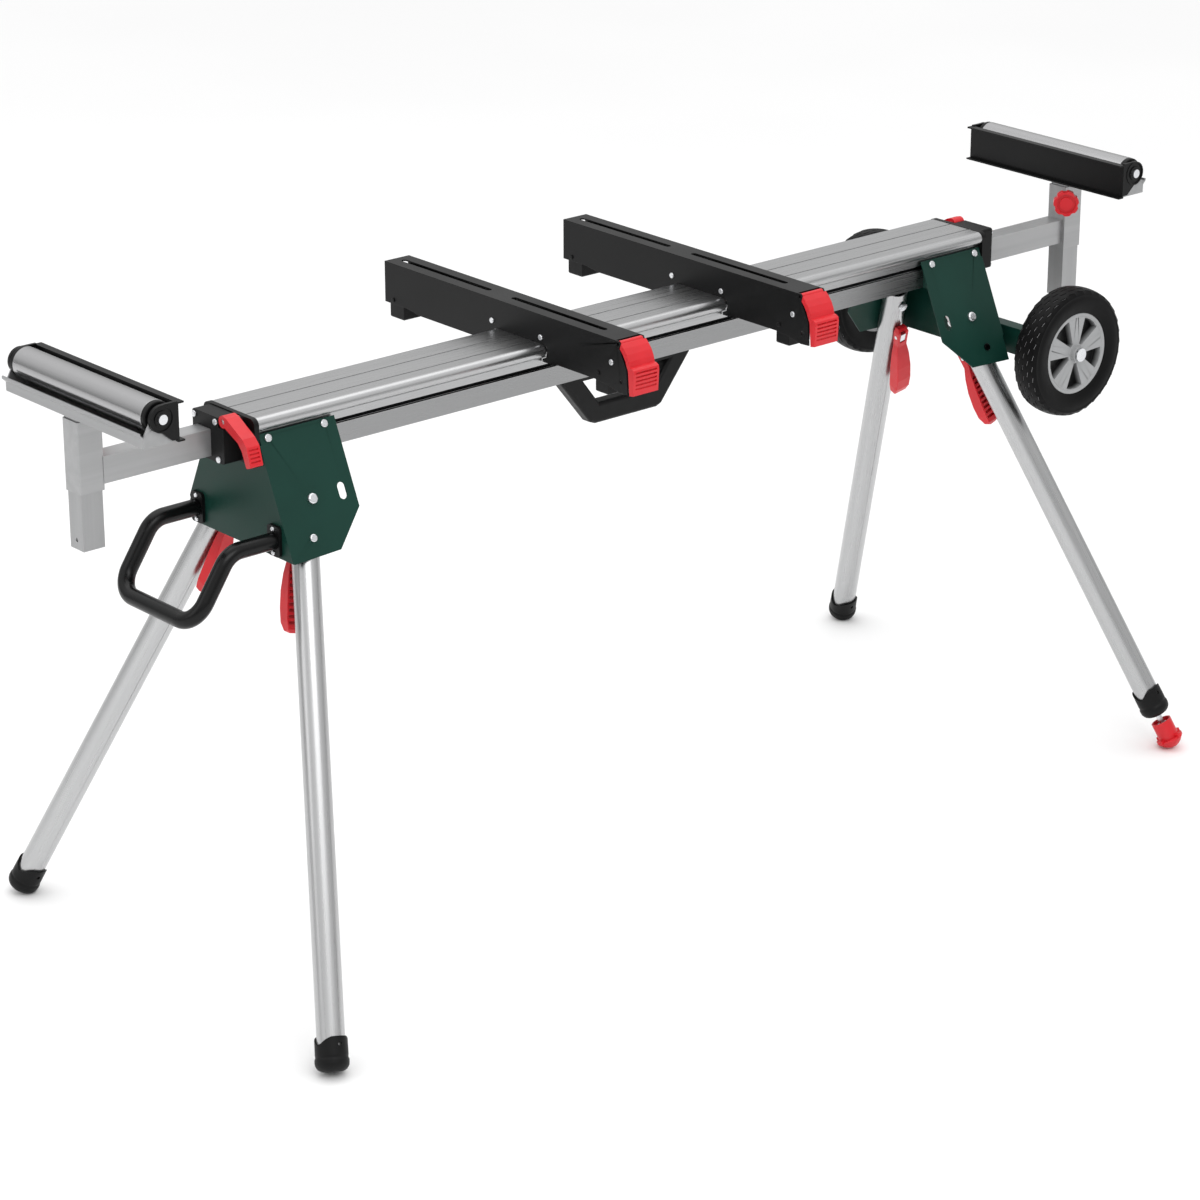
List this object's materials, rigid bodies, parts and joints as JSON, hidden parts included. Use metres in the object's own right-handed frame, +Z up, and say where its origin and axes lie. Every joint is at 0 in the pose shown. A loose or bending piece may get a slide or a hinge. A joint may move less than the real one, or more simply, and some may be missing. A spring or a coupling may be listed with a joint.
{
  "type": "folding saw stand",
  "caption": "Folding wheeled stand for a bench saw: slotted beam, splayed folding legs, sliding roller arms and clamp-on saw brackets.",
  "frame": {"origin": "on the floor under the middle of the beam", "axes": "+X along the beam towards the wheels, -Y the operator's side, +Z up"},
  "size_m": [1.992, 0.8256, 0.9467],
  "materials": {
    "anodised": "extruded, satin",
    "black_casting": "fine-textured black",
    "green": "powder coat, satin",
    "steel": "zinc plated",
    "black_paint": "satin black paint",
    "black_plastic": "moulded",
    "rubber": "matt",
    "red_plastic": "moulded, satin gloss",
    "grey_paint": "grey satin paint",
    "roller_steel": "ground steel",
    "tyre": "moulded tread",
    "rim_plastic": "moulded light grey"
  },
  "bodies": {
    "frame": {"main_beam": "anodised", "left_clamp_block": "black_casting", "right_clamp_block": "black_casting", "left_housing": "green", "right_housing": "green", "frame_screws": "steel", "leg_pivot_bolts": "steel", "pull_handle": "black_paint", "pull_handle_clamps": "black_plastic", "carry_handle": "black_plastic", "axle_bracket": "green", "wheel_axle": "steel"},
    "left_front_leg": {"left_front_leg_tube": "anodised", "left_front_leg_foot": "rubber", "left_front_leg_lever_pin": "steel"},
    "left_front_leg_release": {"left_front_leg_lever": "red_plastic"},
    "left_rear_leg": {"left_rear_leg_tube": "anodised", "left_rear_leg_foot": "rubber", "left_rear_leg_lever_pin": "steel"},
    "left_rear_leg_release": {"left_rear_leg_lever": "red_plastic"},
    "right_front_leg": {"right_front_leg_tube": "anodised", "right_front_leg_foot": "rubber", "right_front_leg_lever_pin": "steel"},
    "right_front_leg_release": {"right_front_leg_lever": "red_plastic"},
    "right_rear_leg": {"right_rear_leg_tube": "anodised", "right_rear_leg_foot": "rubber", "right_rear_leg_lever_pin": "steel"},
    "right_rear_leg_release": {"right_rear_leg_lever": "red_plastic"},
    "adjusting_foot": {"adjuster_stud": "steel", "adjuster_foot": "red_plastic"},
    "left_arm": {"left_arm": "grey_paint"},
    "left_height_knob": {"left_height_knob": "red_plastic"},
    "left_post": {"left_post": "grey_paint", "left_roller_bracket": "grey_paint", "left_fence": "black_paint", "left_roller_axle": "steel"},
    "left_roller": {"left_roller": "roller_steel", "left_roller_end_caps": "black_plastic"},
    "left_clamp_lever": {"left_clamp_lever": "red_plastic"},
    "right_arm": {"right_arm": "grey_paint"},
    "right_height_knob": {"right_height_knob": "red_plastic"},
    "right_post": {"right_post": "grey_paint", "right_roller_bracket": "grey_paint", "right_fence": "black_paint", "right_roller_axle": "steel"},
    "right_roller": {"right_roller": "roller_steel", "right_roller_end_caps": "black_plastic"},
    "right_clamp_lever": {"right_clamp_lever": "red_plastic"},
    "left_bracket": {"left_bracket_channel": "black_paint", "left_bracket_foot_blocks": "black_plastic", "left_bracket_screws": "black_paint"},
    "left_bracket_lever": {"left_bracket_lever": "red_plastic"},
    "right_bracket": {"right_bracket_channel": "black_paint", "right_bracket_foot_blocks": "black_plastic", "right_bracket_screws": "black_paint"},
    "right_bracket_lever": {"right_bracket_lever": "red_plastic"},
    "front_wheel": {"front_wheel_tyre": "tyre", "front_wheel_rim": "rim_plastic"},
    "rear_wheel": {"rear_wheel_tyre": "tyre", "rear_wheel_rim": "rim_plastic"}
  },
  "joints": [
    {"name": "left_front_leg_fold", "type": "hinge", "parent": "frame", "child": "left_front_leg", "pos_m": [-0.665, -0.07628, 0.71197], "axis": [0, -0.9116, 0.411], "range_deg": [0, 105]},
    {"name": "left_front_leg_release_turn", "type": "hinge", "parent": "left_front_leg", "child": "left_front_leg_release", "pos_m": [-0.68128, -0.07534, 0.64593], "axis": [-0.9649, 0.1079, 0.2393], "range_deg": [0, 6], "stiffness_Nm_per_rad": 4, "springref_deg": -5.73},
    {"name": "left_rear_leg_fold", "type": "hinge", "parent": "frame", "child": "left_rear_leg", "pos_m": [-0.665, 0.07628, 0.71197], "axis": [0, -0.9116, -0.411], "range_deg": [0, 105]},
    {"name": "left_rear_leg_release_turn", "type": "hinge", "parent": "left_rear_leg", "child": "left_rear_leg_release", "pos_m": [-0.68128, 0.07534, 0.64593], "axis": [0.9649, 0.1079, -0.2393], "range_deg": [0, 6], "stiffness_Nm_per_rad": 4, "springref_deg": -5.73},
    {"name": "right_front_leg_fold", "type": "hinge", "parent": "frame", "child": "right_front_leg", "pos_m": [0.665, -0.07628, 0.71197], "axis": [0, 0.9116, -0.411], "range_deg": [0, 99]},
    {"name": "right_front_leg_release_turn", "type": "hinge", "parent": "right_front_leg", "child": "right_front_leg_release", "pos_m": [0.68128, -0.07534, 0.64593], "axis": [-0.9649, -0.1079, -0.2393], "range_deg": [0, 6], "stiffness_Nm_per_rad": 4, "springref_deg": -5.73},
    {"name": "right_rear_leg_fold", "type": "hinge", "parent": "frame", "child": "right_rear_leg", "pos_m": [0.665, 0.07628, 0.71197], "axis": [0, 0.9116, 0.411], "range_deg": [0, 99]},
    {"name": "right_rear_leg_release_turn", "type": "hinge", "parent": "right_rear_leg", "child": "right_rear_leg_release", "pos_m": [0.68128, 0.07534, 0.64593], "axis": [0.9649, -0.1079, 0.2393], "range_deg": [0, 6], "stiffness_Nm_per_rad": 4, "springref_deg": -5.73},
    {"name": "foot_adjuster_travel", "type": "slide", "parent": "right_front_leg", "child": "adjusting_foot", "axis": [0.2625, -0.3966, -0.8796], "range_m": [-0.006, 0.01]},
    {"name": "left_arm_slide", "type": "slide", "parent": "frame", "child": "left_arm", "axis": [-1, 0, 0], "range_m": [-0.12, 1.1]},
    {"name": "left_clamp_lever_turn", "type": "hinge", "parent": "frame", "child": "left_clamp_lever", "pos_m": [-0.75, -0.0245, 0.8377], "axis": [-1, 0, 0], "range_deg": [0, 60]},
    {"name": "left_height_knob_turn", "type": "hinge", "parent": "left_arm", "child": "left_height_knob", "pos_m": [-0.941, 0.0425, 0.8567], "axis": [0.7071, 0.7071, 0], "range_deg": [0, 360]},
    {"name": "left_post_slide", "type": "slide", "parent": "left_arm", "child": "left_post", "axis": [0, 0, 1], "range_m": [0, 0.075]},
    {"name": "left_roller_spin", "type": "hinge", "parent": "left_post", "child": "left_roller", "pos_m": [-0.962, 0, 0.9237], "axis": [0, 1, 0], "continuous": true},
    {"name": "right_arm_slide", "type": "slide", "parent": "frame", "child": "right_arm", "axis": [1, 0, 0], "range_m": [-0.12, 1.1]},
    {"name": "right_clamp_lever_turn", "type": "hinge", "parent": "frame", "child": "right_clamp_lever", "pos_m": [0.75, 0.0245, 0.8377], "axis": [1, 0, 0], "range_deg": [0, 60]},
    {"name": "right_height_knob_turn", "type": "hinge", "parent": "right_arm", "child": "right_height_knob", "pos_m": [0.941, -0.0425, 0.8567], "axis": [-0.7071, -0.7071, 0], "range_deg": [0, 360]},
    {"name": "right_post_slide", "type": "slide", "parent": "right_arm", "child": "right_post", "axis": [0, 0, 1], "range_m": [0, 0.075]},
    {"name": "right_roller_spin", "type": "hinge", "parent": "right_post", "child": "right_roller", "pos_m": [0.962, 0, 0.9237], "axis": [0, 1, 0], "continuous": true},
    {"name": "left_bracket_slide", "type": "slide", "parent": "frame", "child": "left_bracket", "axis": [1, 0, 0], "range_m": [-0.3, 0.12]},
    {"name": "left_bracket_lever_turn", "type": "hinge", "parent": "left_bracket", "child": "left_bracket_lever", "pos_m": [-0.17735, -0.2215, 0.8827], "axis": [-1, 0, 0], "range_deg": [0, 70]},
    {"name": "right_bracket_slide", "type": "slide", "parent": "frame", "child": "right_bracket", "axis": [1, 0, 0], "range_m": [-0.12, 0.3]},
    {"name": "right_bracket_lever_turn", "type": "hinge", "parent": "right_bracket", "child": "right_bracket_lever", "pos_m": [0.18465, -0.2215, 0.8827], "axis": [-1, 0, 0], "range_deg": [0, 70]},
    {"name": "front_wheel_spin", "type": "hinge", "parent": "frame", "child": "front_wheel", "pos_m": [0.76, -0.224, 0.6747], "axis": [0, 1, 0], "continuous": true},
    {"name": "rear_wheel_spin", "type": "hinge", "parent": "frame", "child": "rear_wheel", "pos_m": [0.76, 0.224, 0.6747], "axis": [0, 1, 0], "continuous": true}
  ]
}
